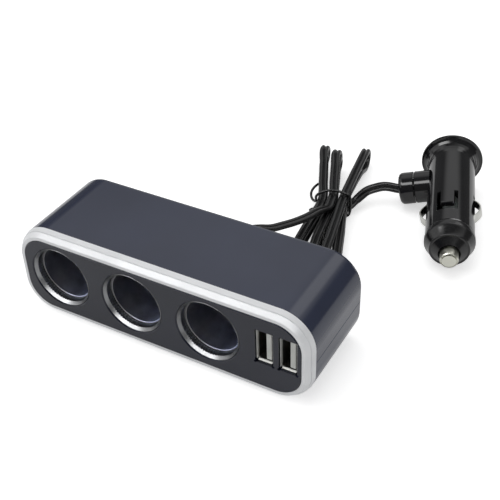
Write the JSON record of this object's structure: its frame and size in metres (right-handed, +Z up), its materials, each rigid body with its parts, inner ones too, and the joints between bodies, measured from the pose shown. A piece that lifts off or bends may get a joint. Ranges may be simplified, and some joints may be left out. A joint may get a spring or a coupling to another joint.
{
  "type": "car power socket splitter",
  "caption": "Car power socket splitter: a rounded box with plug sockets and USB ports in its front, a bundled flat lead and a round plug with a swivel hub and sprung tip.",
  "frame": {"origin": "under the middle of the housing, on the surface that it stands on", "axes": "+X along the row of sockets to the USB ports, +Y from the front plate to the back, +Z up"},
  "size_m": [0.1424, 0.1537, 0.0365],
  "materials": {
    "housing_plastic": "glossy blue-grey black",
    "silver_frame": "satin silver paint on plastic",
    "face_plastic": "semi-gloss black",
    "mouth_chrome": "polished",
    "tube_steel": "rolled sheet",
    "insulator": "moulded",
    "contact_brass": "satin",
    "board": "solder mask",
    "usb_steel": "nickel plated",
    "usb_tongue": "moulded",
    "ferrite": "matt",
    "can_aluminium": "sleeved",
    "chip_plastic": "matt",
    "screw_steel": "zinc plated",
    "relief_rubber": "matt",
    "cord_jacket": "smooth",
    "tie_plastic": "smooth",
    "plug_plastic": "polished black",
    "nose_plastic": "polished black",
    "tip_nickel": "turned nickel",
    "fuse_glass": "glass tube with metal caps",
    "spring_steel": "satin",
    "wire_insulation": "smooth"
  },
  "bodies": {
    "splitter": {"upper_shell": "housing_plastic", "lower_shell": "housing_plastic", "trim_frame": "silver_frame", "front_plate": "face_plastic", "mouth_ring_left": "mouth_chrome", "mouth_ring_middle": "mouth_chrome", "mouth_ring_right": "mouth_chrome", "socket_tube_left": "tube_steel", "socket_tube_middle": "tube_steel", "socket_tube_right": "tube_steel", "socket_insulator_left": "insulator", "socket_insulator_middle": "insulator", "socket_insulator_right": "insulator", "centre_contact_left": "contact_brass", "centre_contact_middle": "contact_brass", "centre_contact_right": "contact_brass", "positive_bus": "contact_brass", "ground_bus": "tube_steel", "supply_wires": "wire_insulation", "usb_board": "board", "usb_shell_inner": "usb_steel", "usb_shell_outer": "usb_steel", "usb_tongue_inner": "usb_tongue", "usb_tongue_outer": "usb_tongue", "usb_contacts": "contact_brass", "power_coil": "ferrite", "filter_capacitor": "can_aluminium", "converter_chip": "chip_plastic", "housing_screws": "screw_steel", "cord_relief": "relief_rubber", "cord_box_lead": "cord_jacket", "cord_hank": "cord_jacket", "cord_plug_lead": "cord_jacket", "hank_tie": "tie_plastic", "plug_upper_half": "plug_plastic", "plug_lower_half": "plug_plastic", "plug_end_cap": "plug_plastic", "fuse_spring": "spring_steel", "spring_seat": "contact_brass", "plug_wires": "wire_insulation"},
    "swivel": {"plug_swivel": "plug_plastic", "plug_swivel_clip": "screw_steel"},
    "nose": {"nose_cap": "nose_plastic"},
    "tip": {"plug_tip": "tip_nickel", "plug_fuse": "fuse_glass"},
    "left_contact": {"side_contact_left": "spring_steel"},
    "right_contact": {"side_contact_right": "spring_steel"}
  },
  "joints": [
    {"name": "cord_swivel", "type": "hinge", "parent": "splitter", "child": "swivel", "pos_m": [0.04638, 0.10808, 0.00865], "axis": [-0.9252, -0.3059, -0.2246], "range_deg": [-90, 90]},
    {"name": "nose_unscrew", "type": "slide", "parent": "splitter", "child": "nose", "axis": [0.3251, -0.9442, -0.0531], "range_m": [0, 0.012]},
    {"name": "tip_press", "type": "slide", "parent": "nose", "child": "tip", "axis": [-0.3251, 0.9442, 0.0531], "range_m": [0, 0.003], "stiffness_N_per_m": 1500, "springref_m": -0.002, "deforming": ["fuse_spring"]},
    {"name": "left_contact_press", "type": "slide", "parent": "splitter", "child": "left_contact", "axis": [0.9252, 0.3059, 0.2246], "range_m": [0, 0.0018], "stiffness_N_per_m": 1200, "springref_m": -0.0008},
    {"name": "right_contact_press", "type": "slide", "parent": "splitter", "child": "right_contact", "axis": [-0.9252, -0.3059, -0.2246], "range_m": [0, 0.0018], "stiffness_N_per_m": 1200, "springref_m": -0.0008}
  ]
}
